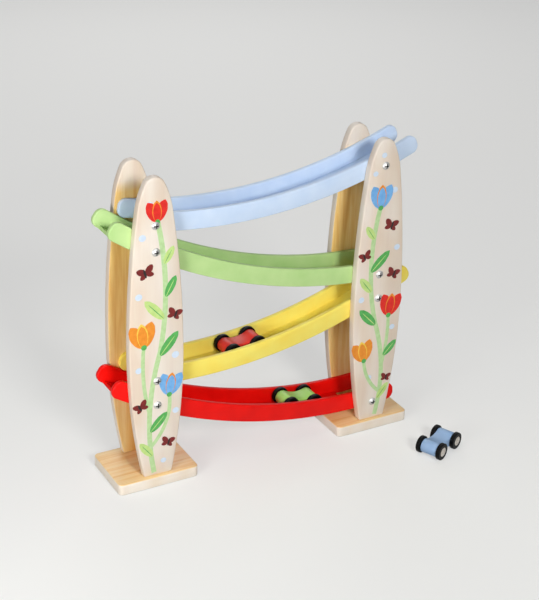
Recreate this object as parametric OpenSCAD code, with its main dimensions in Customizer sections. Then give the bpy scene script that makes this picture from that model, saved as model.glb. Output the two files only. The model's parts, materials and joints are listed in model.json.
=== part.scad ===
// Click clack track: a wooden stand of two bases and four leaf-shaped posts carries four curved channel
// tracks, and small cars roll down them, dropping from the low end of each track onto the next one.
// X runs along the tracks, +Y is the back and Z is up from the floor, all in millimetres.

/* [Posts] */
// Height of the whole stand, from the floor to the tops of the posts
stand_h = 287; // [280:0.5:320]
// Distance between the centre lines of the left and right posts
post_spacing = 220; // [200:1:250]
// Widest width of a post
post_w = 50; // [40:0.5:60]
// Width of a post at its foot
post_foot_w = 26; // [22:0.5:36]
// Height of a post's widest place above its foot
post_belly_h = 116.5; // [80:0.5:150]
// Width of a post at its shoulders, where its sides begin to turn in to the top
post_shoulder_w = 32; // [31:0.5:36]
// Height of a post's top over its shoulders
post_shoulder_drop = 30; // [26:0.5:36]
// Radius of a post's rounded top
post_tip_r = 9.5; // [7:0.5:10]
// Thickness of a post
post_t = 8; // [6:0.5:12]

/* [Bases] */
// Width of a base along the tracks
base_w = 76; // [60:1:100]
// How far a base stands out in front of and behind its posts
base_lip = 3.5; // [1:0.5:15]
// Thickness of a base
base_h = 10.5; // [9:0.5:18]
// Radius of a base's upright corners
base_corner_r = 4.5; // [2:0.5:12]

/* [Tracks] */
// Clear width between the two rails of a track
channel_w = 28; // [24:0.5:40]
// Thickness of a rail
rail_t = 4.5; // [4.5:0.5:7]
// Height of a rail
rail_h = 16.5; // [15:0.5:18]
// Radius of the curve of a rail's top edge
rail_r = 440; // [400:5:600]
// Radius of the corners at a rail's ends
rail_end_r = 7; // [3:0.5:7]
// Thickness of a track's floor
floor_t = 2.5; // [2:0.25:4]
// How deep the floor is let into each rail
floor_rabbet = 1.5; // [1:0.25:2.5]
// Distance from a track's upper end back to its floor
floor_inset = 9; // [7:0.5:20]
// Length of the opening between the floor and the low end, where the car drops through
drop_len = 46; // [43:1:60]
// How far the upper ends reach past the middle of the posts
high_overhang = 38; // [30:0.5:50]
// How far the low end of the bottom track reaches past the middle of the posts
last_overhang = 28.5; // [20:0.5:45]
// Height of the lowest rail end's screw above the base
lowest_rise = 17.5; // [13:0.5:30]
// Height at the posts from a track's high end to the low end of the track above
end_step = 23.5; // [22:0.5:32]
// Fall of the blue track from post to post
blue_fall = 17; // [12:0.5:40]
// Fall of the green track from post to post
green_fall = 63.5; // [40:0.5:70]
// Fall of the yellow track from post to post
yellow_fall = 32; // [25:0.5:50]
// Fall of the red track from post to post
red_fall = 51.5; // [35:0.5:60]

/* [Screws] */
// Diameter of a screw's shank
screw_d = 3; // [2:0.25:3.5]
// Diameter of a track screw's pan head
screw_head_d = 7.5; // [6:0.25:9]
// Height of a track screw's pan head
screw_head_h = 2.2; // [1.5:0.1:3]
// Depth of a track screw in its rail
screw_bite = 3.5; // [2.5:0.25:3.75]
// Width of a slot of the cross recess
recess_w = 1; // [0.6:0.1:1.4]
// Depth of the cross recess
recess_h = 1; // [0.5:0.1:1.2]
// Distance between the two screws in a post's foot
foot_screw_spacing = 13; // [9:0.5:14]
// Depth of a base screw in a post's foot
foot_screw_bite = 20; // [12:1:30]
// Diameter of a base screw's countersunk head
foot_head_d = 6; // [5:0.25:8]
// How deep the base screws' heads are sunk below the base's underside
foot_head_sink = 1; // [0.5:0.25:3]

/* [Cars] */
// Distance between a car's two axles
wheelbase = 25; // [22:0.5:28]
// Diameter of a wheel
wheel_d = 16; // [14:0.25:18]
// Thickness of a wheel
wheel_w = 4; // [3:0.25:5]
// Radius of a wheel's rounded edges
wheel_edge_r = 0.8; // [0.3:0.1:1.4]
// Diameter of an axle
axle_d = 3; // [2:0.25:4]
// Diameter of the round ends of a car's body
lobe_d = 13; // [11:0.25:13.5]
// Height of a car's body at its waist
waist_h = 7.5; // [5:0.25:9]
// Diameter of a hub cap
cap_d = 8.5; // [5:0.25:9.5]
// Height of a hub cap's dome over the wheel
cap_dome_h = 0.9; // [0.5:0.1:1.5]
// Depth of the hub cap's seat in the wheel
cap_seat_h = 1; // [0.6:0.1:1.5]
// How far an axle reaches into a hub cap
cap_grip = 1.2; // [0.8:0.1:1.4]
// Distance of the red car from the low edge of the yellow track's floor, along the floor
red_car_place = 65.5; // [16:0.5:150]
// Distance of the green car from the low edge of the red track's floor, along the floor
green_car_place = 50; // [16:0.5:150]
// Place of the blue car on the floor, to the right of the stand's middle
blue_car_x = 144; // [130:1:180]
// Place of the blue car on the floor, in front of the stand's middle
blue_car_front = 89; // [75:1:140]
// Direction of the blue car, turned from the tracks' direction
blue_car_turn = 24; // [0:1:40]

/* [Fits] */
// Clearance all round an axle in a bore, and of a cap in its seat
axle_fit = 0.05; // [0.02:0.01:0.1]
// Clearance all round a screw in its hole
screw_fit = 0.05; // [0.02:0.01:0.1]
// Glue line over the floor in its rabbets
glue_gap = 0.1; // [0.05:0.05:0.2]
// Gap between a wheel and the car's body
wheel_gap = 0.3; // [0.2:0.05:0.6]
// Gap between a wheel and the track's floor
track_gap = 0.3; // [0.2:0.05:0.5]
// Play between a hub cap and the rail beside it
side_play = 0.6; // [0.4:0.1:2]
// Gap between a track's low end and the rail top under it
end_gap = 0.5; // [0.4:0.1:2]

/* [Hidden] */
$fn = 64;
// Steps of the large arcs
arc_fn = 900;
// How far a rounded end stands out over the arcs that it runs on from, so that the outlines cross
proud = 0.05;
// How far the arcs of a post's shoulders run down inside its sides
shoulder_lap = 10;

TRACKS = ["blue", "green", "yellow", "red"];
SIDES = ["left", "right"];
FACES = ["front", "back"];
CARS = ["red", "green", "blue"];
AXLES = ["front", "rear"];

wood_colour = "burlywood";
steel_colour = "silver";
wheel_colour = [0.08, 0.08, 0.08];
track_colours = ["lightskyblue", "yellowgreen", "gold", "red"];
car_colours = ["firebrick", "limegreen", "cornflowerblue"];

// Sign of a side along X and of a face along Y
function side_x(side) = side == "left" ? -1 : 1;
function face_y(face) = face == "front" ? -1 : 1;

// Stand: height of the posts, depths across the tracks and places of the posts
post_h = stand_h - base_h;
post_x = post_spacing / 2;
rail_y = channel_w / 2 + rail_t;
post_y = rail_y + post_t;
base_d = 2 * (post_y + base_lip);

// Heights of the rails' screws: the low end of each track is a step above the high end of the one below
falls = [blue_fall, green_fall, yellow_fall, red_fall];
function low_z(i) = i == 3 ? base_h + lowest_rise : high_z(i + 1) + end_step;
function high_z(i) = low_z(i) + falls[i];
// Side of a track's low end along X: the tracks fall left and right in turn
function low_side(i) = i % 2 == 0 ? -1 : 1;

// Point at an angle from straight down, seen from the front, and its distance from the middle
function below(angle) = [sin(angle), -cos(angle)];
// Angle from straight down of a point seen from a centre
function angle_of(centre, p) = atan2(p.x - centre.x, centre.y - p.y);
// Centre of the arc of radius r that hangs through points p and q, p on the left
function arc_centre(p, q, r) =
    (p + q) / 2 + sqrt(r * r - pow(norm(q - p) / 2, 2)) * [p.y - q.y, q.x - p.x] / norm(q - p);
// Lower crossing of two circles
function low_crossing(c1, r1, c2, r2) =
    let (d = norm(c2 - c1))
    let (u = (c2 - c1) / d)
    let (along = (r1 * r1 - r2 * r2 + d * d) / (2 * d))
    c1 + along * u + sqrt(r1 * r1 - along * along) * (u.x > 0 ? [u.y, -u.x] : [-u.y, u.x]);

// Track arcs: top edge, screw line, floor and bottom edge share one centre
screw_line_r = rail_r + rail_h / 2;
rail_bottom_r = rail_r + rail_h;
floor_r = rail_bottom_r - floor_t;
corner_r = rail_bottom_r - rail_end_r;
function screw_z(i, side) = side_x(side) == low_side(i) ? low_z(i) : high_z(i);
function track_centre(i) =
    arc_centre([-post_x, screw_z(i, "left")], [post_x, screw_z(i, "right")], screw_line_r);
// Angle of the lower end corner whose round reaches to x
function corner_angle(i, x) = asin((x - sign(x) * rail_end_r - track_centre(i).x) / corner_r);
function high_angle(i) = corner_angle(i, -low_side(i) * (post_x + high_overhang));
// A low end comes down to the rail tops of the track below, and the last one has its own overhang
function low_angle(i) = i == 3
    ? corner_angle(i, low_side(i) * (post_x + last_overhang))
    : angle_of(track_centre(i),
        low_crossing(track_centre(i), corner_r, track_centre(i + 1), rail_r - rail_end_r - end_gap));
function along_floor(length) = length / floor_r * 180 / PI;
function floor_low_angle(i) = low_angle(i) - low_side(i) * along_floor(drop_len - rail_end_r);
function floor_high_angle(i) = high_angle(i) + low_side(i) * along_floor(floor_inset - rail_end_r);

// Car: widths outwards from the middle
wheel_r = wheel_d / 2;
cap_out_y = channel_w / 2 - side_play;
wheel_out_y = cap_out_y - cap_dome_h;
wheel_in_y = wheel_out_y - wheel_w;
body_w = 2 * (wheel_in_y - wheel_gap);
axle_l = 2 * (wheel_out_y - cap_seat_h + cap_grip);
// Arc of the waist, tangent to the round ends
waist_r = (pow(wheelbase / 2, 2) + pow(waist_h / 2, 2) - pow(lobe_d / 2, 2)) / (lobe_d - waist_h);
waist_share = waist_r / (waist_r + lobe_d / 2);
// Radius of the middle of a car's axles about the centre of its track
car_path_r = sqrt(pow(floor_r - track_gap - wheel_r, 2) - pow(wheelbase / 2, 2));
// The first cars stand on the lower tracks, the last one on the floor
car_places = [red_car_place, green_car_place];
function car_track(c) = len(TRACKS) - len(car_places) + c;

// Outline box of the whole toy, whose bottom centre is the origin
turn_c = cos(blue_car_turn);
turn_s = sin(blue_car_turn);
car_reach = wheelbase / 2 + wheel_r - wheel_edge_r;
car_side = wheel_out_y - wheel_edge_r;
stand_reach = post_x + max(high_overhang, last_overhang, base_w / 2);
box_right = max(stand_reach, blue_car_x + car_reach * turn_c + car_side * turn_s + wheel_edge_r);
box_front = max(base_d / 2, blue_car_front + car_reach * turn_s + car_side * turn_c + wheel_edge_r);
box_middle = [(box_right - stand_reach) / 2, (base_d / 2 - box_front) / 2, 0];

// Puts the stand's middle in its place in the outline box
module in_frame() {
    translate(-box_middle) children();
}

// Raises an outline drawn in X and Z to a board from y to y + t
module board(y, t) {
    translate([0, y + t, 0]) rotate([90, 0, 0]) linear_extrude(t) children();
}

// Turns a piece drawn along +Z to face the front or the back
module facing(face) {
    rotate([-90 * face_y(face), 0, 0]) children();
}

// Places of the rails' screws on one post
module at_track_screws(side, face) {
    for (i = [0:3])
        translate([side_x(side) * post_x, face_y(face) * post_y, screw_z(i, side)]) facing(face) children();
}

// Places of the screws up into one post's foot, at the base's underside
module at_foot_screws(side, face) {
    for (x = [-1, 1])
        translate([side_x(side) * post_x + x * foot_screw_spacing / 2, face_y(face) * (post_y - post_t / 2), 0])
            children();
}

// Stand

module base_outline() {
    inner = [base_w - 2 * base_corner_r, base_d - 2 * base_corner_r];
    square([base_w, inner.y], center = true);
    square([inner.x, base_d], center = true);
    for (x = [-1, 1]) for (y = [-1, 1])
        translate([x * inner.x / 2, y * inner.y / 2]) circle(base_corner_r);
}

module base(side) {
    color(wood_colour) difference() {
        translate([side_x(side) * post_x, 0, 0]) linear_extrude(base_h) base_outline();
        for (face = FACES) at_foot_screws(side, face) foot_screw_hole();
    }
}

// Leaf outline of a post: a foot, swelling sides, and shoulders and a round top that run on from them
module post_outline() {
    half = post_w / 2;
    narrowing = half - post_foot_w / 2;
    lower_r = (pow(narrowing, 2) + pow(post_belly_h, 2)) / (2 * narrowing);
    shoulder = [post_shoulder_w / 2, post_h - post_shoulder_drop];
    drawn_in = half - shoulder.x;
    rise = shoulder.y - post_belly_h;
    upper_r = (drawn_in * drawn_in + rise * rise) / (2 * drawn_in);
    // The shoulder's arc leaves the side along its own direction and runs into the round top
    outward = [upper_r - drawn_in, rise] / upper_r;
    tip_z = post_h - post_tip_r;
    from_tip = shoulder - [0, tip_z];
    shoulder_r = (from_tip * from_tip - post_tip_r * post_tip_r) / (2 * (outward * from_tip - post_tip_r));
    middle = shoulder - shoulder_r * outward;
    tangent_z = tip_z + post_tip_r * (tip_z - middle.y) / (shoulder_r - post_tip_r);
    tip_proud = 3 * proud;
    intersection_for (x = [-1, 1])
        lens_side(x, lower_r, half, post_belly_h, 0, post_belly_h);
    intersection_for (x = [-1, 1])
        lens_side(x, upper_r, half, post_belly_h, post_belly_h, shoulder.y);
    intersection_for (x = [-1, 1])
        lens_side(x, shoulder_r + proud, middle.x + shoulder_r + proud, middle.y,
            shoulder.y - shoulder_lap, tangent_z);
    translate([0, tip_z - tip_proud]) circle(post_tip_r + tip_proud);
}

// One side of a lens: the disc whose edge bulges to half at height belly, cut from z0 to z1
module lens_side(x, r, half, belly, z0, z1) {
    intersection() {
        translate([x * (half - r), belly]) circle(r, $fn = arc_fn);
        translate([-2 * half, z0]) square([4 * half, z1 - z0]);
    }
}

module post(side, face) {
    y = face == "front" ? -post_y : rail_y;
    color(wood_colour) difference() {
        translate([side_x(side) * post_x, 0, base_h]) board(y, post_t) post_outline();
        at_track_screws(side, face) track_screw_hole();
        at_foot_screws(side, face) foot_screw_hole();
    }
}

// Tracks

// Sector of a ring about a centre, between two angles from straight down
module ring_sector(centre, r_in, r_out, from, to) {
    far = 2 * r_out;
    translate(centre) intersection() {
        difference() {
            circle(r_out, $fn = arc_fn);
            circle(r_in, $fn = arc_fn);
        }
        polygon([[0, 0], far * below(from), far * below(to)]);
    }
}

// Rounded end of a rail, pointing along dir
module rail_end(centre, angle, dir) {
    translate(centre) rotate(angle) {
        for (r = [rail_r + rail_end_r - proud, corner_r + proud]) translate([0, -r]) circle(rail_end_r);
        translate([dir > 0 ? -proud : proud - rail_end_r, -corner_r])
            square([rail_end_r, rail_h - 2 * rail_end_r]);
    }
}

module rail_outline(i) {
    c = track_centre(i);
    left = min(low_angle(i), high_angle(i));
    right = max(low_angle(i), high_angle(i));
    ring_sector(c, rail_r, rail_bottom_r, left, right);
    rail_end(c, left, -1);
    rail_end(c, right, 1);
}

// Strip that the floor fills, over a clearance above and past it
module floor_outline(i, above = 0, below_it = 0) {
    left = min(floor_low_angle(i), floor_high_angle(i));
    right = max(floor_low_angle(i), floor_high_angle(i));
    ring_sector(track_centre(i), floor_r - above, rail_bottom_r + below_it, left, right);
}

module rail(i, face) {
    inner_y = channel_w / 2;
    y = face == "front" ? -rail_y : inner_y;
    pocket_y = face == "front" ? -inner_y - floor_rabbet : inner_y - floor_rabbet;
    color(track_colours[i]) difference() {
        board(y, rail_t) rail_outline(i);
        board(pocket_y, 2 * floor_rabbet) floor_outline(i, glue_gap, floor_t);
        for (side = SIDES)
            translate([side_x(side) * post_x, face_y(face) * post_y, screw_z(i, side)])
                facing(face) track_screw_hole();
    }
}

module track_floor(i) {
    w = channel_w + 2 * floor_rabbet;
    color(track_colours[i]) board(-w / 2, w) floor_outline(i);
}

// Screws, drawn head up with z = 0 on the face that the head seats on

module track_screw_hole() {
    deep = post_t + screw_bite + screw_fit;
    translate([0, 0, -deep]) cylinder(r = screw_d / 2 + screw_fit, h = deep + screw_head_h);
}

module track_screw() {
    head_r = screw_head_d / 2;
    dome_r = (head_r * head_r + screw_head_h * screw_head_h) / (2 * screw_head_h);
    difference() {
        union() {
            rotate_extrude() intersection() {
                translate([0, screw_head_h - dome_r]) circle(dome_r, $fn = 128);
                square([head_r, screw_head_h]);
            }
            translate([0, 0, -post_t - screw_bite]) cylinder(d = screw_d, h = post_t + screw_bite);
        }
        for (a = [0, 90])
            rotate(a) translate([-head_r * 0.6, -recess_w / 2, screw_head_h - recess_h])
                cube([head_r * 1.2, recess_w, screw_head_h]);
    }
}

module track_screws(side, face) {
    color(steel_colour) at_track_screws(side, face) track_screw();
}

// Countersunk screw, drawn from the base's underside upwards
module foot_screw_shape(fit) {
    head_r = foot_head_d / 2 + fit;
    shank_r = screw_d / 2 + fit;
    cone_h = head_r - shank_r;
    cone_z = foot_head_sink;
    translate([0, 0, cone_z]) cylinder(r1 = head_r, r2 = shank_r, h = cone_h);
    translate([0, 0, cone_z]) cylinder(r = shank_r, h = base_h - cone_z + foot_screw_bite + fit);
}

module foot_screw_hole() {
    foot_screw_shape(screw_fit);
    translate([0, 0, -foot_head_sink]) cylinder(r = foot_head_d / 2 + screw_fit, h = 2 * foot_head_sink);
}

module base_screws(side) {
    color(steel_colour) for (face = FACES) at_foot_screws(side, face) difference() {
        foot_screw_shape(0);
        for (a = [0, 90])
            rotate(a) translate([-foot_head_d * 0.3, -recess_w / 2, foot_head_sink - recess_h])
                cube([foot_head_d * 0.6, recess_w, 2 * recess_h]);
    }
}

// Cars, drawn about the middle of their two axles, front along +X

// Places a car: the red and green ones on their tracks, the blue one on the floor
module at_car(c) {
    if (c < len(car_places)) {
        i = car_track(c);
        angle = floor_low_angle(i) - low_side(i) * along_floor(car_places[c]);
        spot = track_centre(i) + car_path_r * below(angle);
        translate([spot.x, 0, spot.y]) rotate([0, -angle, 0]) children();
    } else {
        translate([blue_car_x, -blue_car_front, wheel_r]) rotate([0, 0, blue_car_turn]) children();
    }
}

module at_axle(a) {
    translate([(a == 0 ? 1 : -1) * wheelbase / 2, 0, 0]) children();
}

// Bone outline: round ends over the axles and a waist drawn in above and below
module car_outline() {
    for (x = [-1, 1]) translate([x * wheelbase / 2, 0]) circle(lobe_d / 2 + proud);
    difference() {
        square([wheelbase * waist_share, lobe_d], center = true);
        for (z = [-1, 1])
            translate([0, z * (waist_r + waist_h / 2)]) circle(waist_r, $fn = 256);
    }
}

module car_body(c) {
    color(car_colours[c]) at_car(c) difference() {
        board(-body_w / 2, body_w) car_outline();
        for (a = [0, 1])
            at_axle(a) rotate([90, 0, 0]) cylinder(d = axle_d + 2 * axle_fit, h = 2 * body_w, center = true);
    }
}

module car_axle(c, a) {
    color(steel_colour) at_car(c) at_axle(a)
        rotate([90, 0, 0]) cylinder(d = axle_d, h = axle_l, center = true);
}

// Half section of a wheel, its inner face on z = 0
module wheel_section() {
    bore_r = axle_d / 2 + axle_fit;
    seat_r = cap_d / 2 + axle_fit;
    difference() {
        union() {
            translate([bore_r, 0]) square([wheel_r - wheel_edge_r - bore_r, wheel_w]);
            translate([bore_r, wheel_edge_r]) square([wheel_r - bore_r, wheel_w - 2 * wheel_edge_r]);
            for (z = [wheel_edge_r, wheel_w - wheel_edge_r])
                translate([wheel_r - wheel_edge_r, z]) circle(wheel_edge_r);
        }
        translate([0, wheel_w - cap_seat_h]) square([seat_r, 2 * cap_seat_h]);
    }
}

// Half section of a hub cap on its seat, z as in the wheel
module cap_section() {
    cap_r = cap_d / 2;
    dome_r = (cap_r * cap_r + cap_dome_h * cap_dome_h) / (2 * cap_dome_h);
    seat_z = wheel_w - cap_seat_h;
    difference() {
        union() {
            translate([0, seat_z]) square([cap_r, cap_seat_h]);
            intersection() {
                translate([0, wheel_w + cap_dome_h - dome_r]) circle(dome_r, $fn = 128);
                translate([0, wheel_w]) square([cap_r, cap_dome_h]);
            }
        }
        translate([0, 0]) square([axle_d / 2 + axle_fit, seat_z + cap_grip + axle_fit]);
    }
}

// Both sides of an axle, outwards from the wheels' inner faces
module at_wheels(c, a) {
    at_car(c) at_axle(a)
        for (face = FACES) translate([0, face_y(face) * wheel_in_y, 0]) facing(face) children();
}

module car_wheels(c, a) {
    color(wheel_colour) at_wheels(c, a) rotate_extrude() wheel_section();
}

module car_hub_caps(c, a) {
    color(steel_colour) at_wheels(c, a) rotate_extrude() cap_section();
}

// The toy

for (s = SIDES) {
    in_frame() base(s);
    in_frame() base_screws(s);
    for (f = FACES) {
        in_frame() post(s, f);
        in_frame() track_screws(s, f);
    }
}
for (i = [0:3]) {
    in_frame() track_floor(i);
    for (f = FACES)
        in_frame() rail(i, f);
}
for (c = [0:2]) {
    in_frame() car_body(c);
    for (a = [0, 1]) {
        in_frame() car_axle(c, a);
        in_frame() car_wheels(c, a);
        in_frame() car_hub_caps(c, a);
    }
}
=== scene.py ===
"""Looks of the click clack track toy: sanded and printed posts, painted tracks, cars, light and camera."""
import json
import math

import bpy
from mathutils import Matrix, Vector


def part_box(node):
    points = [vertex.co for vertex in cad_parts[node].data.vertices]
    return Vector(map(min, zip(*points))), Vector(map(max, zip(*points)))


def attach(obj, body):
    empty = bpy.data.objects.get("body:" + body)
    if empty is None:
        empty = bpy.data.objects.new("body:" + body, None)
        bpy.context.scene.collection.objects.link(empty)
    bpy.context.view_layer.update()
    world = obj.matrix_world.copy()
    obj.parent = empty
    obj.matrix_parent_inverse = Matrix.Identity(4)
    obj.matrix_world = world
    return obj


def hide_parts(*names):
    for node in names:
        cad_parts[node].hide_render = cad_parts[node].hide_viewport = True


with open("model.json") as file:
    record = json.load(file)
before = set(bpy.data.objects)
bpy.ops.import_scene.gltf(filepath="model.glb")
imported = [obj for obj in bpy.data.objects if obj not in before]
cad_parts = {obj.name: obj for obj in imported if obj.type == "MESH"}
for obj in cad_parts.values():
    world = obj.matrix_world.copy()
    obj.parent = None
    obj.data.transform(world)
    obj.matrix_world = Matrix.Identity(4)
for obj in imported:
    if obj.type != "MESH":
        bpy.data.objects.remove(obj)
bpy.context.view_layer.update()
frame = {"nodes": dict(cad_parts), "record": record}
nodes = frame["nodes"]
record = frame["record"]
body_of_node = {node: body for body, names in record["behaviour"]["bodies"].items() for node in names}
slot_of_node = {subpart["node"]: subpart["material_slot"] for subpart in record["subparts"]}
MM = 0.001
UP = Vector((0, 0, 1))
BACK = Vector((0, 1, 0))

# Places on the stand, read from the pieces themselves
left_post_low, left_post_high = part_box("left_front_post")
right_post_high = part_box("right_front_post")[1]
blue_floor_low, blue_floor_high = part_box("blue_track_floor")
STAND_X = (left_post_low.x + right_post_high.x) / 2
STAND_Y = (blue_floor_low.y + blue_floor_high.y) / 2
POST_FACE_Y = left_post_low.y
FOOT_Z = left_post_low.z

# Painted light: the posts' tips, lit above the shadow line of the front posts and tracks, take the pale
# tones all round, and fade into bare wood below them
LIT_TIP_LENGTH = 22 * MM
SHADOW_EDGE_FADE = 10 * MM
SHADOW_LINE_Z = left_post_high.z - LIT_TIP_LENGTH


def linear(code):
    """sRGB hex colour as linear RGBA."""
    parts = [int(code[start:start + 2], 16) / 255 for start in (1, 3, 5)]
    return [part / 12.92 if part <= 0.04045 else ((part + 0.055) / 1.055) ** 2.4 for part in parts] + [1.0]


def feed(tree, node, inputs):
    """Gives a node its inputs: each is a value, or the socket that feeds it."""
    for name, value in inputs.items():
        if isinstance(value, bpy.types.NodeSocket):
            tree.links.new(value, node.inputs[name])
        else:
            node.inputs[name].default_value = value


def add(tree, kind, settings, inputs, stops=()):
    """Adds a node with its settings and inputs, and with (position, hex colour) stops on a colour ramp."""
    made = tree.nodes.new(kind)
    for name, value in settings.items():
        setattr(made, name, value)
    feed(tree, made, inputs)
    if stops:
        elements = made.color_ramp.elements
        while len(elements) < len(stops):
            elements.new(0.5)
        for element, (position, code) in zip(elements, stops):
            element.position = position
            element.color = linear(code)
    return made


def new_material(name):
    """An empty material with its shader and the object's own coordinates."""
    material = bpy.data.materials.new(name)
    material.use_nodes = True
    tree = material.node_tree
    shader = tree.nodes["Principled BSDF"]
    place = add(tree, "ShaderNodeTexCoord", {}, {})
    return material, tree, shader, place


# Materials

# Sockets of a Mix node by number: its share, and both sides and the outcome for colours and for values
SHARE = 0
COLOUR_A, COLOUR_B, COLOUR_OUT = 6, 7, 2
VALUE_A, VALUE_B, VALUE_OUT = 2, 3, 0


def lacquered_lime_wood(name, tones, grain, bare, ground_and_light_tones):
    """Sawn and sanded lime wood under clear satin lacquer: straight pale grain with darker pores.

    grain is the axis that the grain runs along. The face that looks along bare shows its wood, and the
    other faces take the pale ground_and_light_tones: the printed pale coat on the fronts of the front posts,
    and painted light on the outer sides of the posts and the edges of every board, where the lamps fall.
    The tips of the posts, above the tracks, take the pale tones all round as painted light, lit above the
    shadow line.
    """
    material, tree, shader, place = new_material(name)
    # Growth bands, and pores that are drawn far wider than real ones so that they show
    band_width = 7 * MM
    pore_width = 1.1 * MM
    stretch_along_grain = 20
    band_scale = [1 / band_width] * 3
    pore_scale = [1 / pore_width] * 3
    band_scale["XYZ".index(grain)] /= stretch_along_grain
    pore_scale["XYZ".index(grain)] /= stretch_along_grain
    band_place = add(tree, "ShaderNodeMapping", {}, {"Vector": place.outputs["Object"], "Scale": band_scale})
    pore_place = add(tree, "ShaderNodeMapping", {}, {"Vector": place.outputs["Object"], "Scale": pore_scale})
    band = add(tree, "ShaderNodeTexNoise", {}, {
        "Vector": band_place.outputs[0],
        "Scale": 1.0,
        "Detail": 3.0,
        "Roughness": 0.55,
        "Distortion": 0.6,
    })
    pore = add(tree, "ShaderNodeTexNoise", {}, {
        "Vector": pore_place.outputs[0],
        "Scale": 1.0,
        "Detail": 2.0,
    })
    banded = add(tree, "ShaderNodeValToRGB", {}, {"Fac": band.outputs["Fac"]},
                 stops=[(0.32, tones[0]), (0.5, tones[1]), (0.68, tones[2])])
    pore_share = add(tree, "ShaderNodeMapRange", {}, {
        "Value": pore.outputs["Fac"],
        "From Min": 0.5,
        "From Max": 0.75,
        "To Min": 0.0,
        "To Max": 0.35,
    })
    wood = add(tree, "ShaderNodeMix", {"data_type": "RGBA"}, {
        SHARE: pore_share.outputs[0],
        COLOUR_A: banded.outputs["Color"],
        COLOUR_B: linear(tones[2]),
    })
    # The pale tones start where a face turns away from bare, and let a little grain through: the printed
    # pale coat on the front posts' fronts, and painted light on the other faces
    facing = add(tree, "ShaderNodeVectorMath", {"operation": "DOT_PRODUCT"}, {
        0: place.outputs["Normal"],
        1: bare,
    })
    print_ground_and_painted_light = add(tree, "ShaderNodeMapRange", {}, {
        "Value": facing.outputs["Value"],
        "From Min": 0.75,
        "From Max": 0.35,
        "To Min": 0.0,
        "To Max": 0.86,
    })
    # Painted light: above the shadow line the tips of the posts are pale all round
    height = add(tree, "ShaderNodeSeparateXYZ", {}, {"Vector": place.outputs["Object"]})
    painted_lit_tip = add(tree, "ShaderNodeMapRange", {}, {
        "Value": height.outputs["Z"],
        "From Min": SHADOW_LINE_Z - SHADOW_EDGE_FADE / 2,
        "From Max": SHADOW_LINE_Z + SHADOW_EDGE_FADE / 2,
        "To Min": 0.0,
        "To Max": 0.8,
    })
    pale_share = add(tree, "ShaderNodeMath", {"operation": "MAXIMUM"}, {
        0: print_ground_and_painted_light.outputs[0],
        1: painted_lit_tip.outputs[0],
    })
    # The pale tones are clouded in tall patches, which go straight through the thin boards
    cloud_width = 26 * MM
    cloud_depth = 1000 * MM
    cloud_height = 70 * MM
    cloud_place = add(tree, "ShaderNodeMapping", {}, {
        "Vector": place.outputs["Object"],
        "Scale": (1 / cloud_width, 1 / cloud_depth, 1 / cloud_height),
    })
    cloud = add(tree, "ShaderNodeTexNoise", {}, {
        "Vector": cloud_place.outputs[0],
        "Scale": 1.0,
        "Detail": 1.0,
    })
    pale_colour = add(tree, "ShaderNodeValToRGB", {}, {"Fac": cloud.outputs["Fac"]},
                 stops=[(0.36, ground_and_light_tones[0]), (0.5, ground_and_light_tones[1]), (0.64, ground_and_light_tones[2])])
    # Pale tones over the wood: the printed pale coat on the front posts' fronts, painted light elsewhere
    colour = add(tree, "ShaderNodeMix", {"data_type": "RGBA"}, {
        SHARE: pale_share.outputs[0],
        COLOUR_A: wood.outputs[COLOUR_OUT],
        COLOUR_B: pale_colour.outputs["Color"],
    })
    gloss = add(tree, "ShaderNodeMapRange", {}, {
        "Value": pore.outputs["Fac"],
        "To Min": 0.36,
        "To Max": 0.52,
    })
    bump = add(tree, "ShaderNodeBump", {}, {
        "Height": pore.outputs["Fac"],
        "Strength": 0.12,
        "Distance": 0.1 * MM,
    })
    feed(tree, shader, {
        "Base Color": colour.outputs[COLOUR_OUT],
        "Roughness": gloss.outputs[0],
        "Normal": bump.outputs[0],
    })
    return material


def gloss_enamel(name, code, deep):
    """Sprayed enamel on smooth wood: an even colour with a slight roll in its gloss, like orange peel."""
    material, tree, shader, place = new_material(name)
    # The sprayed film pools over a finger's width, and its peel has a fine grit
    pool_size = 18 * MM
    peel_size = 1.6 * MM
    pool = add(tree, "ShaderNodeTexNoise", {}, {
        "Vector": place.outputs["Object"],
        "Scale": 1 / pool_size,
        "Detail": 2.0,
    })
    colour = add(tree, "ShaderNodeValToRGB", {}, {"Fac": pool.outputs["Fac"]},
                 stops=[(0.3, deep), (0.7, code)])
    gloss = add(tree, "ShaderNodeMapRange", {}, {
        "Value": pool.outputs["Fac"],
        "To Min": 0.3,
        "To Max": 0.44,
    })
    peel = add(tree, "ShaderNodeTexNoise", {}, {
        "Vector": place.outputs["Object"],
        "Scale": 1 / peel_size,
        "Detail": 1.0,
    })
    bump = add(tree, "ShaderNodeBump", {}, {
        "Height": peel.outputs["Fac"],
        "Strength": 0.08,
        "Distance": 0.08 * MM,
    })
    feed(tree, shader, {
        "Base Color": colour.outputs["Color"],
        "Roughness": gloss.outputs[0],
        "Normal": bump.outputs[0],
        "Specular IOR Level": 0.2,
    })
    return material


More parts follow.
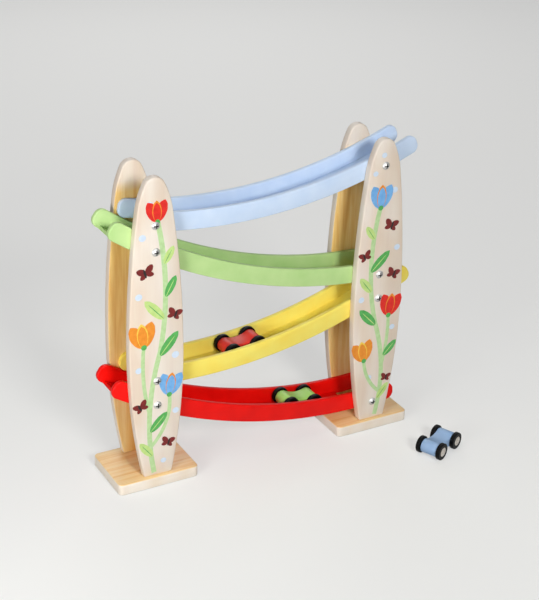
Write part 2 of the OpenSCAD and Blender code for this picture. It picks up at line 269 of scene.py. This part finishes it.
def moulded_black_plastic(name):
    """Injection moulded black polystyrene: deep black with a soft sheen and a faint moulded grain."""
    material, tree, shader, place = new_material(name)
    # The mould's real grain is too fine to show, so it is drawn several times coarser
    grain_size = 0.9 * MM
    grain = add(tree, "ShaderNodeTexNoise", {}, {
        "Vector": place.outputs["Object"],
        "Scale": 1 / grain_size,
        "Detail": 2.0,
    })
    colour = add(tree, "ShaderNodeValToRGB", {}, {"Fac": grain.outputs["Fac"]},
                 stops=[(0.3, "#050505"), (0.7, "#0c0c0d")])
    gloss = add(tree, "ShaderNodeMapRange", {}, {
        "Value": grain.outputs["Fac"],
        "To Min": 0.3,
        "To Max": 0.48,
    })
    bump = add(tree, "ShaderNodeBump", {}, {
        "Height": grain.outputs["Fac"],
        "Strength": 0.06,
        "Distance": 0.05 * MM,
    })
    feed(tree, shader, {
        "Base Color": colour.outputs["Color"],
        "Roughness": gloss.outputs[0],
        "Normal": bump.outputs[0],
        "Specular IOR Level": 0.1,
    })
    return material


def plated_steel(name, code, bright, rough, recess_shade_and_oil=None):
    """Zinc or nickel plated steel: a bright metal, clouded by handling over a few millimetres.

    A screw that faces the front or the back has a dark colour in its cross: painted shade in the deep
    cross, with some dark film of oil in it.
    """
    material, tree, shader, place = new_material(name)
    cloud_size = 2.5 * MM
    dullness_in_clouds = 0.15
    cloud = add(tree, "ShaderNodeTexNoise", {}, {
        "Vector": place.outputs["Object"],
        "Scale": 1 / cloud_size,
        "Detail": 3.0,
    })
    clouded = add(tree, "ShaderNodeValToRGB", {}, {"Fac": cloud.outputs["Fac"]},
                  stops=[(0.35, code), (0.7, bright)])
    colour = clouded.outputs["Color"]
    if recess_shade_and_oil:
        # The floor of the cross looks straight out and its walls look sideways, unlike the dome between them
        straight_out = 0.995
        sideways = 0.3
        normal = add(tree, "ShaderNodeSeparateXYZ", {}, {"Vector": place.outputs["Normal"]})
        outward = add(tree, "ShaderNodeMath", {"operation": "ABSOLUTE"}, {0: normal.outputs["Y"]})
        bottom = add(tree, "ShaderNodeMath", {"operation": "GREATER_THAN"}, {
            0: outward.outputs[0],
            1: straight_out,
        })
        wall = add(tree, "ShaderNodeMath", {"operation": "LESS_THAN"}, {0: outward.outputs[0], 1: sideways})
        cross = add(tree, "ShaderNodeMath", {"operation": "MAXIMUM"}, {
            0: bottom.outputs[0],
            1: wall.outputs[0],
        })
        # Painted shade in the deep cross, with some dark film of oil
        cross_oil_and_shade = add(tree, "ShaderNodeMix", {"data_type": "RGBA"}, {
            SHARE: cross.outputs[0],
            COLOUR_A: colour,
            COLOUR_B: linear(recess_shade_and_oil),
        })
        colour = cross_oil_and_shade.outputs[COLOUR_OUT]
    gloss = add(tree, "ShaderNodeMapRange", {}, {
        "Value": cloud.outputs["Fac"],
        "To Min": rough,
        "To Max": rough + dullness_in_clouds,
    })
    feed(tree, shader, {
        "Base Color": colour,
        "Roughness": gloss.outputs[0],
        "Metallic": 1.0,
    })
    return material


def screen_print_ink(name, code, deep):
    """Screen printing ink on wood: a flat matt colour with the screen's slight mottle."""
    material, tree, shader, place = new_material(name)
    mottle_size = 4 * MM
    mottle = add(tree, "ShaderNodeTexNoise", {}, {
        "Vector": place.outputs["Object"],
        "Scale": 1 / mottle_size,
        "Detail": 3.0,
    })
    colour = add(tree, "ShaderNodeValToRGB", {}, {"Fac": mottle.outputs["Fac"]},
                 stops=[(0.35, deep), (0.65, code)])
    gloss = add(tree, "ShaderNodeMapRange", {}, {
        "Value": mottle.outputs["Fac"],
        "To Min": 0.42,
        "To Max": 0.55,
    })
    feed(tree, shader, {"Base Color": colour.outputs["Color"], "Roughness": gloss.outputs[0]})
    return material


BASE_TONES = ("#fae0ad", "#f6d398", "#e8b974")
POST_TONES = ("#f8dc9c", "#f0c87d", "#dfa655")
# Pale tones on the posts: the printed pale coat on the front posts' fronts, painted light on their sides, on
# the back posts and on the tips
PRINT_GROUND_AND_PAINTED_LIGHT = ("#ece6e0", "#e7ddd4", "#e1d2c5")
# Pale tones on the edges of the boards: painted light, the edges paler than the tops as the lamps fall
EDGE_PAINTED_LIGHT = ("#f5efe6", "#f2e9de", "#eee2d2")
SCREW_ZINC = ("#b4b4b4", "#dcdbd8", 0.42)
finishes = {
    "base_wood": lacquered_lime_wood("lime_wood_base", BASE_TONES, "X", UP, EDGE_PAINTED_LIGHT),
    "post_wood": lacquered_lime_wood("lime_wood_post", POST_TONES, "Z", -BACK, PRINT_GROUND_AND_PAINTED_LIGHT),
    "printed_post_wood": lacquered_lime_wood("lime_wood_printed_post", POST_TONES, "Z", BACK, PRINT_GROUND_AND_PAINTED_LIGHT),
    "blue_track_paint": gloss_enamel("enamel_light_blue", "#d3e4fa", "#c9ddf7"),
    "green_track_paint": gloss_enamel("enamel_light_green", "#c1df99", "#b3d78b"),
    "yellow_track_paint": gloss_enamel("enamel_yellow", "#faea74", "#f9df5e"),
    "red_track_paint": gloss_enamel("enamel_red", "#f3120b", "#e60c07"),
    "red_car_paint": gloss_enamel("enamel_car_red", "#ea3d31", "#dc352a"),
    "green_car_paint": gloss_enamel("enamel_car_green", "#b9ec80", "#abe270"),
    "blue_car_paint": gloss_enamel("enamel_car_blue", "#a0bde0", "#91b2db"),
    "wheel_black": moulded_black_plastic("black_polystyrene"),
    "axle_steel": plated_steel("drawn_steel_axle", "#a9a9aa", "#cfceca", 0.28),
    "hub_cap_steel": plated_steel("pressed_nickel_cap", "#b9aea2", "#e0ddd8", 0.25),
    "screw_steel": plated_steel("zinc_plated_screw", *SCREW_ZINC, recess_shade_and_oil="#2a2826"),
}
# The base screws look down, so the test for the cross of a screw in front or behind doesn't fit them
base_screw_steel = plated_steel("zinc_plated_base_screw", *SCREW_ZINC)
inks = {
    "stem": screen_print_ink("ink_stem_green", "#c2dfa6", "#b4d597"),
    "leaf": screen_print_ink("ink_leaf_green", "#5bb45c", "#4ba34e"),
    "pale_leaf": screen_print_ink("ink_pale_leaf", "#c9e38f", "#bcd97f"),
    "red": screen_print_ink("ink_red", "#e5291d", "#d61c14"),
    "orange": screen_print_ink("ink_orange", "#f1972f", "#e78a24"),
    "blue": screen_print_ink("ink_blue", "#7cb6ea", "#6aa8e2"),
    "yellow": screen_print_ink("ink_yellow", "#f8d65a", "#f3cb46"),
    "wing": screen_print_ink("ink_dark_red", "#7d1a16", "#6a1210"),
    "black": screen_print_ink("ink_black", "#1c1413", "#140e0d"),
    "dot": screen_print_ink("ink_pale_blue", "#d9e6f6", "#cfdff3"),
}


# Pieces from the CAD solids, with sanded edges

# Radius that sanding leaves on each kind of piece
POST_EDGE = 1.2 * MM
BASE_EDGE = 1.3 * MM
RAIL_EDGE = 0.9 * MM
CAR_EDGE = 1.0 * MM
ROUNDING_STEPS = 3

# Edges this close to the middle of a screw or an axle, or to a track's floor, stay sharp
BASE_SCREW_REACH = 5 * MM
TRACK_SCREW_REACH = 4 * MM
FOOT_SCREW_REACH = 3 * MM
AXLE_REACH = 2.5 * MM
FLOOR_REACH = 0.3 * MM

# Points closer than these are one: in a solid's loose triangles, and where two rounded edges meet
TRIANGLE_MERGE = 0.002 * MM
CORNER_MERGE = 0.03 * MM

# Angles between faces, in degrees: those that lie flat, those that sanding rounds, and those shaded smooth
FLAT_ANGLE = 0.4
SHARP_ANGLE = 40
SMOOTH_ANGLE = 32


def select_only(*pieces):
    """Selects these pieces and nothing else."""
    if bpy.context.mode != "OBJECT":
        bpy.ops.object.mode_set(mode="OBJECT")
    bpy.ops.object.select_all(action="DESELECT")
    for piece in pieces:
        piece.select_set(True)
    bpy.context.view_layer.objects.active = pieces[0]


def edit_all(piece):
    """Opens a piece in edit mode with all its vertices selected."""
    select_only(piece)
    bpy.ops.object.mode_set(mode="EDIT")
    bpy.ops.mesh.select_mode(type="VERT")
    bpy.ops.mesh.select_all(action="SELECT")


def merged_copy(node, name):
    """A copy of a solid with its loose triangles merged, open in edit mode with everything selected."""
    piece = bpy.data.objects.new(name, nodes[node].data.copy())
    bpy.context.scene.collection.objects.link(piece)
    select_only(piece)
    bpy.ops.mesh.customdata_custom_splitnormals_clear()
    edit_all(piece)
    bpy.ops.mesh.remove_doubles(threshold=TRIANGLE_MERGE)
    return piece


def select_sharp_edges(mesh, refusals):
    """Selects the edges where two faces meet sharply, apart from those that a refusal names."""
    sides = {}
    for face in mesh.polygons:
        for key in face.edge_keys:
            sides.setdefault(key, []).append(face.normal)
    limit = math.cos(math.radians(SHARP_ANGLE))
    for edge in mesh.edges:
        first, second = edge.vertices
        normals = sides.get(tuple(sorted(edge.vertices)), [])
        middle = (mesh.vertices[first].co + mesh.vertices[second].co) / 2
        sharp = len(normals) == 2 and normals[0].dot(normals[1]) < limit
        edge.select = sharp and not any(refuses(middle) for refuses in refusals)
    for vertex in mesh.vertices:
        vertex.select = False
    for face in mesh.polygons:
        face.select = False


def sanded(node, radius, *refusals):
    """Makes a copy of a solid with its sharp edges rounded, which stands for the solid."""
    piece = merged_copy(node, "sanded_" + node)
    mesh = piece.data
    bpy.ops.mesh.dissolve_limited(angle_limit=math.radians(FLAT_ANGLE))
    bpy.ops.mesh.select_mode(type="EDGE")
    bpy.ops.mesh.select_all(action="DESELECT")
    bpy.ops.object.mode_set(mode="OBJECT")
    select_sharp_edges(mesh, refusals)
    bpy.ops.object.mode_set(mode="EDIT")
    bpy.ops.mesh.bevel(offset=radius, offset_type="OFFSET", segments=ROUNDING_STEPS, profile=0.5,
                       affect="EDGES", clamp_overlap=False, loop_slide=False)
    bpy.ops.mesh.select_all(action="SELECT")
    bpy.ops.mesh.remove_doubles(threshold=CORNER_MERGE)
    bpy.ops.object.mode_set(mode="OBJECT")
    bpy.ops.object.shade_smooth_by_angle(angle=math.radians(SMOOTH_ANGLE))
    mesh.materials.clear()
    mesh.materials.append(finishes[slot_of_node[node]])
    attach(piece, body_of_node[node])
    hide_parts(node)


def near_holes(middles, way, reach):
    """Refuses edges close to any of the holes that run through these middles along way."""
    def refuses(point):
        offsets = [point - middle for middle in middles]
        return any((offset - offset.dot(way) * way).length < reach for offset in offsets)
    return refuses


def along_solid(node, reach):
    """Refuses edges that lie close to another solid."""
    def refuses(point):
        nearest = nodes[node].closest_point_on_mesh(point)[1]
        return (nearest - point).length < reach
    return refuses


def solid_middles(node):
    """Middles of a node's separate solids, from the boxes round them."""
    merged_copy(node, "loose")
    bpy.ops.mesh.separate(type="LOOSE")
    bpy.ops.object.mode_set(mode="OBJECT")
    middles = []
    for solid in list(bpy.context.selected_objects):
        corners = [Vector(corner) for corner in solid.bound_box]
        middles.append(sum(corners, Vector()) / len(corners))
        bpy.data.objects.remove(solid)
    return middles


for side in ("left", "right"):
    feet = solid_middles(side + "_base_screws")
    sanded(side + "_base", BASE_EDGE, near_holes(feet, UP, BASE_SCREW_REACH))
    for face in ("front", "back"):
        screws = solid_middles(f"{side}_{face}_track_screws")
        sanded(f"{side}_{face}_post", POST_EDGE,
               near_holes(screws, BACK, TRACK_SCREW_REACH),
               near_holes(feet, UP, FOOT_SCREW_REACH))
for face in ("front", "back"):
    screws = solid_middles(f"left_{face}_track_screws") + solid_middles(f"right_{face}_track_screws")
    for track in ("blue", "green", "yellow", "red"):
        sanded(f"{track}_track_{face}_rail", RAIL_EDGE,
               near_holes(screws, BACK, TRACK_SCREW_REACH),
               along_solid(track + "_track_floor", FLOOR_REACH))
for car in ("red", "green", "blue"):
    front, rear = (solid_middles(f"{car}_car_{end}_wheels") for end in ("front", "rear"))
    axle_way = (front[1] - front[0]).normalized()
    sanded(car + "_car_body", CAR_EDGE, near_holes([front[0], rear[0]], axle_way, AXLE_REACH))


# Printed faces of the front posts

# An ink film starts in the wood, and each layer stands a little higher over the face than the one before
INK_ROOT = 0.2 * MM
INK_FILM = 0.06 * MM
INK_LAYER = 0.03 * MM

STEM_WIDTH = 4.6 * MM
TWIG_WIDTH = 3.4 * MM
STEM_STEPS = 20
OVAL_CORNERS = 24
DOT_CORNERS = 20

# From these shares of an oval's length on, its width is drawn in by these factors to end in a point
POINT_PULLS = ((0.72, 0.92), (0.86, 0.78), (0.95, 0.55))

# Shapes as shares of their own size: a dot's height, and a leaf's vein
DOT_HEIGHT = 0.93
VEIN_LENGTH = 0.82
VEIN_WIDTH = 0.09


def start_flat(add_primitive, middle, **sizes):
    """A flat primitive that faces the front, its middle on the post's face."""
    if bpy.context.mode != "OBJECT":
        bpy.ops.object.mode_set(mode="OBJECT")
    bpy.ops.object.select_all(action="DESELECT")
    add_primitive(location=middle, rotation=(math.pi / 2, 0, 0), **sizes)
    piece = bpy.context.object
    bpy.ops.object.transform_apply(location=True, rotation=True, scale=True)
    edit_all(piece)
    return piece


def select_above(piece, height):
    """Selects the vertices over this height and nothing else, in edit mode."""
    bpy.ops.mesh.select_all(action="DESELECT")
    bpy.ops.object.mode_set(mode="OBJECT")
    for vertex in piece.data.vertices:
        vertex.select = vertex.co.z > height
    bpy.ops.object.mode_set(mode="EDIT")


def turn_flat(angle, about):
    """Turns the selection in the face's plane, seen from the front, anticlockwise in degrees."""
    bpy.ops.transform.rotate(value=math.radians(angle), orient_axis="Y", orient_type="GLOBAL",
                             center_override=about)


def raise_ink(piece, ink, layer):
    """Gives a flat shape the thickness of its ink film, from inside the wood to just over the face."""
    edit_all(piece)
    bpy.ops.transform.translate(value=(0, INK_ROOT, 0))
    film = INK_ROOT + INK_FILM + INK_LAYER * layer
    bpy.ops.mesh.extrude_region_move(TRANSFORM_OT_translate={"value": (0, -film, 0)})
    bpy.ops.mesh.select_all(action="SELECT")
    bpy.ops.mesh.normals_make_consistent(inside=False)
    bpy.ops.object.mode_set(mode="OBJECT")
    piece.data.materials.append(inks[ink])
    return piece


def pointed_oval(spot, length, width, angle, ink, layer):
    """A petal or leaf: a disc drawn out to a point, which starts at spot and leans by angle."""
    piece = start_flat(bpy.ops.mesh.primitive_circle_add, spot, vertices=OVAL_CORNERS, radius=length / 2,
                       fill_type="NGON")
    bpy.ops.transform.translate(value=(0, 0, length / 2))
    bpy.ops.transform.resize(value=(width / length, 1, 1), center_override=spot)
    for share, pull in POINT_PULLS:
        select_above(piece, spot[2] + share * length)
        bpy.ops.transform.resize(value=(pull, 1, 1), center_override=spot)
    bpy.ops.mesh.select_all(action="SELECT")
    turn_flat(angle, spot)
    return raise_ink(piece, ink, layer)


def dot(spot, radius, ink, layer):
    """A dot, a little wider than it is high."""
    piece = start_flat(bpy.ops.mesh.primitive_circle_add, spot, vertices=DOT_CORNERS, radius=radius,
                       fill_type="NGON")
    bpy.ops.transform.resize(value=(1, 1, DOT_HEIGHT), center_override=spot)
    return raise_ink(piece, ink, layer)


def stem(start, end, bow, width, ink, layer):
    """A stem from start to end along an arc that bows out by this much, + to the left."""
    across, rise = end[0] - start[0], end[2] - start[2]
    chord = math.hypot(across, rise)
    radius = (chord ** 2 / 4 + bow ** 2) / (2 * abs(bow))
    half_turn = math.copysign(math.asin(chord / 2 / radius), bow)
    piece = start_flat(bpy.ops.mesh.primitive_plane_add, start, size=width)
    # Only the lower edge of the plane is kept, as the end that the arc sweeps along
    select_above(piece, start[2])
    bpy.ops.mesh.delete(type="VERT")
    bpy.ops.mesh.select_all(action="SELECT")
    bpy.ops.transform.translate(value=(0, 0, width / 2))
    # An arc that bows to the left turns to the right as it climbs, so its centre lies on the right
    centre = (start[0] + math.copysign(radius, bow), start[1], start[2])
    bpy.ops.mesh.spin(steps=STEM_STEPS, angle=2 * half_turn, center=centre, axis=-BACK)
    bpy.ops.mesh.select_all(action="SELECT")
    turn_flat(math.degrees(math.atan2(-across, rise) + half_turn), start)
    return raise_ink(piece, ink, layer)


def tulip(spot, size, lean, ink, layer):
    """A tulip: two outer petals, an edged middle one over them and a green cup at their foot."""
    edging = "yellow" if ink == "orange" else "orange"
    # Length and width as shares of the flower's size, turn in degrees, and ink
    petals = (
        (1.0, 0.52, 24, ink),
        (1.0, 0.52, -24, ink),
        (0.94, 0.42, 0, edging),
        (0.84, 0.36, 0, ink),
    )
    cup_radius = 0.11 * size
    made = []
    for step, (length, width, turn, colour) in enumerate(petals):
        made.append(pointed_oval(spot, length * size, width * size, lean + turn, colour, layer + step))
    made.append(dot(spot, cup_radius, "leaf", layer + len(petals)))
    return made


def butterfly(spot, size, lean, layer):
    """A butterfly: two upper wings, two lower ones and a body over them."""
    # Turn in degrees, and length as a share of the butterfly's size
    wings = ((52, 0.56), (-52, 0.56), (118, 0.42), (-118, 0.42))
    wing_slimness = 0.62
    body_length = 0.5 * size
    body_width = 0.13 * size
    body_drop = 0.22 * size
    made = []
    for step, (turn, share) in enumerate(wings):
        length = share * size
        made.append(pointed_oval(spot, length, wing_slimness * length, lean + turn, "wing", layer + step))
    tail = (spot[0], spot[1], spot[2] - body_drop)
    made.append(pointed_oval(tail, body_length, body_width, lean, "black", layer + len(wings)))
    return made


def printed_face(side, mirror, stems, leaves, flowers, visitors, dots):
    """Prints one front post: all its shapes joined to one piece.

    Places are millimetres to the right of the post's middle and up from its foot, mirror turns them left
    for right, and leans are degrees to the left. Later shapes lie over earlier ones.
    """
    low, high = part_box(f"{side}_front_post")
    middle = (low.x + high.x) / 2

    def at(across, up):
        return (middle + mirror * across * MM, POST_FACE_Y, FOOT_Z + up * MM)

    over_stems = len(stems)
    over_leaves = over_stems + 1
    made = []
    for across, up, radius in dots:
        made.append(dot(at(across, up), radius * MM, "dot", 0))
    for layer, (start, end, bow, width) in enumerate(stems):
        made.append(stem(at(*start), at(*end), mirror * bow * MM, width, "stem", layer))
    for across, up, length, width, lean, ink in leaves:
        spot = at(across, up)
        vein = "pale_leaf" if ink == "leaf" else "leaf"
        vein_length = VEIN_LENGTH * length * MM
        vein_width = VEIN_WIDTH * width * MM
        made.append(pointed_oval(spot, length * MM, width * MM, mirror * lean, ink, over_stems))
        made.append(pointed_oval(spot, vein_length, vein_width, mirror * lean, vein, over_leaves))
    for across, up, size, lean, ink in flowers:
        made.extend(tulip(at(across, up), size * MM, mirror * lean, ink, over_leaves))
    for across, up, size, lean in visitors:
        made.extend(butterfly(at(across, up), size * MM, mirror * lean, over_leaves))
    select_only(*made)
    bpy.ops.object.join()
    piece = bpy.context.object
    piece.name = f"{side}_post_print"
    bpy.ops.object.shade_flat()
    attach(piece, "stand")


printed_face(
    "left", 1,
    # Start, end, bow and width
    stems=[
        ((-4, 3), (3, 120), 7, STEM_WIDTH),
        ((3, 120), (1.5, 239), -6, STEM_WIDTH),
        ((-7.5, 62), (-12, 128), 3, TWIG_WIDTH),
        ((-6, 30), (11, 78), -6, TWIG_WIDTH),
    ],
    # Across, up, length, width, lean and ink
    leaves=[
        (-5.5, 20, 19, 7.5, 38, "pale_leaf"),
        (-7, 44, 23, 8, -44, "leaf"),
        (3, 116, 26, 9, -40, "leaf"),
        (6.5, 150, 26, 9, 42, "pale_leaf"),
        (8.5, 170, 20, 7.5, -28, "leaf"),
        (7.5, 200, 17, 7, -30, "pale_leaf"),
    ],
    # Across, up, size, lean and ink
    flowers=[(1.5, 238.5, 19.5, 2, "red"), (-12, 127, 24, 6, "orange"), (11, 77, 22, -8, "blue")],
    # Across, up, size and lean
    visitors=[(-9, 194, 17, 16), (16, 152, 15, -22), (-15, 70, 15, 26), (9, 30, 14, -18)],
    # Across, up and radius
    dots=[
        (-5, 254, 2.8),
        (-12, 226, 3.2),
        (-16, 174, 3.2),
        (17, 114, 3.4),
        (-17, 106, 3),
        (17, 60, 3),
        (5, 13, 2.6),
    ],
)
printed_face(
    "right", -1,
    stems=[
        ((-3, 3), (2, 100), 7, STEM_WIDTH),
        ((2, 100), (3, 214), -7, STEM_WIDTH),
        ((-7, 52), (-12, 106), 2, TWIG_WIDTH),
        ((-5.5, 28), (12, 64), -4, TWIG_WIDTH),
    ],
    leaves=[
        (-5, 20, 18, 7, 38, "pale_leaf"),
        (-9, 64, 19, 7.5, 44, "leaf"),
        (2, 98, 25, 9, -44, "leaf"),
        (8, 132, 20, 8, -38, "pale_leaf"),
        (9.3, 152, 26, 9, 46, "leaf"),
        (7.6, 184, 16, 7, -34, "pale_leaf"),
    ],
    flowers=[(3, 213, 23, 2, "blue"), (-12, 105, 23, 8, "red"), (12, 63, 22, -10, "orange")],
    visitors=[(-9, 194, 16, 18), (16, 168, 14, -20), (-14, 146, 15, 24), (-13, 40, 12, 12)],
    dots=[
        (2, 262, 2.6),
        (-11, 228, 3),
        (10, 246, 2.6),
        (-17, 172, 3),
        (18, 126, 3),
        (-17, 92, 2.8),
        (5, 44, 2.6),
    ],
)

# Other solids keep their shape and take the finish of their slot, or the base screws' own
for name, node in nodes.items():
    if node.hide_render:
        continue
    finish = base_screw_steel if name.endswith("_base_screws") else finishes[slot_of_node[name]]
    node.data.materials.clear()
    node.data.materials.append(finish)


# Floor, light and camera, in metres

FLOOR_SIZE = 14
PAPER_LIFT = 0.46
LIGHT_MIDDLE = Vector((STAND_X, STAND_Y, 0.14))

# Strength of the studio round the toy: as fill light, behind the paper, and in metal low down and overhead
STUDIO_FILL = 0.05
STUDIO_SEEN = 0.52
STUDIO_LOW = 0.25
STUDIO_OVERHEAD = 0.9


def studio_paper(name):
    """Matt pale grey paper, which looks paler than the light that it throws back on the toy."""
    material, tree, shader = new_material(name)[:3]
    rays = add(tree, "ShaderNodeLightPath", {}, {})
    seen = add(tree, "ShaderNodeMath", {"operation": "MAXIMUM"}, {
        0: rays.outputs["Is Camera Ray"],
        1: rays.outputs["Is Glossy Ray"],
    })
    lift = add(tree, "ShaderNodeMapRange", {}, {
        "Value": seen.outputs[0],
        "To Min": 0.0,
        "To Max": PAPER_LIFT,
    })
    feed(tree, shader, {
        "Base Color": linear("#b0b0ac"),
        "Roughness": 0.9,
        "Emission Color": linear("#ffffff"),
        "Emission Strength": lift.outputs[0],
    })
    return material


def light_studio(name):
    """A white studio, which metal mirrors as dim round the horizon and bright overhead."""
    world = bpy.data.worlds.new(name)
    bpy.context.scene.world = world
    world.use_nodes = True
    tree = world.node_tree
    rays = add(tree, "ShaderNodeLightPath", {}, {})
    direction = add(tree, "ShaderNodeTexCoord", {}, {})
    height = add(tree, "ShaderNodeSeparateXYZ", {}, {"Vector": direction.outputs["Generated"]})
    mirrored = add(tree, "ShaderNodeMapRange", {}, {
        "Value": height.outputs["Z"],
        "From Min": 0.1,
        "From Max": 0.7,
        "To Min": STUDIO_LOW,
        "To Max": STUDIO_OVERHEAD,
    })
    glow = add(tree, "ShaderNodeMix", {"data_type": "FLOAT"}, {
        SHARE: rays.outputs["Is Glossy Ray"],
        VALUE_A: STUDIO_FILL,
        VALUE_B: mirrored.outputs[0],
    })
    # Behind the paper's far edge the studio is as pale as the paper there
    strength = add(tree, "ShaderNodeMix", {"data_type": "FLOAT"}, {
        SHARE: rays.outputs["Is Camera Ray"],
        VALUE_A: glow.outputs[VALUE_OUT],
        VALUE_B: STUDIO_SEEN,
    })
    feed(tree, tree.nodes["Background"], {
        "Color": linear("#ffffff"),
        "Strength": strength.outputs[VALUE_OUT],
    })


def softbox(name, place, size, power, target=(0, 0, 0), spread=180):
    """A square softbox lamp, its place and target measured from the middle of the stand.

    size is in metres and power in watts. A grid in front of the lamp narrows its spread, in degrees.
    """
    lamp = bpy.data.lights.new(name, "AREA")
    lamp.size = size
    lamp.energy = power
    lamp.spread = math.radians(spread)
    stand = bpy.data.objects.new(name, lamp)
    bpy.context.scene.collection.objects.link(stand)
    stand.location = LIGHT_MIDDLE + Vector(place)
    stand.rotation_euler = (Vector(target) - Vector(place)).to_track_quat("-Z", "Y").to_euler()
    stand.visible_camera = False


bpy.ops.object.select_all(action="DESELECT")
bpy.ops.mesh.primitive_plane_add(size=FLOOR_SIZE, location=(0, 0, 0))
floor = bpy.context.object
floor.name = "studio_floor"
floor.data.materials.append(studio_paper("studio_paper"))
light_studio("studio")
softbox("key_softbox", place=(-0.1, -1.4, 0.72), size=0.35, power=14.0)
softbox("side_softbox", place=(-0.62, -0.34, 0.14), size=0.25, power=0.85, target=(-0.11, 0, 0), spread=100)
softbox("top_softbox", place=(-0.25, -0.1, 1.3), size=0.6, power=2.8)
softbox("back_softbox", place=(0.6, 1.5, 0.85), size=0.9, power=6.0)

# Camera: from the front left and above, as far away as the photo's perspective tells
CAMERA_PLACE = Vector((STAND_X - 0.5581, STAND_Y - 1.0148, 0.6972))
CAMERA_YAW = math.radians(29.53)
CAMERA_PITCH = math.radians(24.46)
CAMERA_ROLL = math.radians(1.53)
SENSOR_WIDTH_MM = 36
FOCAL_LENGTH_MM = 87.02
SHIFT_RIGHT = -0.009
SHIFT_UP = -0.0433

ahead = Vector((
    math.sin(CAMERA_YAW) * math.cos(CAMERA_PITCH),
    math.cos(CAMERA_YAW) * math.cos(CAMERA_PITCH),
    -math.sin(CAMERA_PITCH),
))
level_right = Vector((math.cos(CAMERA_YAW), -math.sin(CAMERA_YAW), 0))
level_up = level_right.cross(ahead)
right = math.cos(CAMERA_ROLL) * level_right + math.sin(CAMERA_ROLL) * level_up
up = -math.sin(CAMERA_ROLL) * level_right + math.cos(CAMERA_ROLL) * level_up
lens = bpy.data.cameras.new("camera")
lens.sensor_width = SENSOR_WIDTH_MM
lens.lens = FOCAL_LENGTH_MM
lens.shift_x = SHIFT_RIGHT
lens.shift_y = SHIFT_UP
lens.clip_start = 0.05
lens.clip_end = 40
camera = bpy.data.objects.new("camera", lens)
bpy.context.scene.collection.objects.link(camera)
turned = Matrix((right, up, -ahead)).transposed().to_4x4()
camera.matrix_world = Matrix.Translation(CAMERA_PLACE) @ turned
bpy.context.scene.camera = camera
bpy.context.scene.view_settings.view_transform = "Standard"
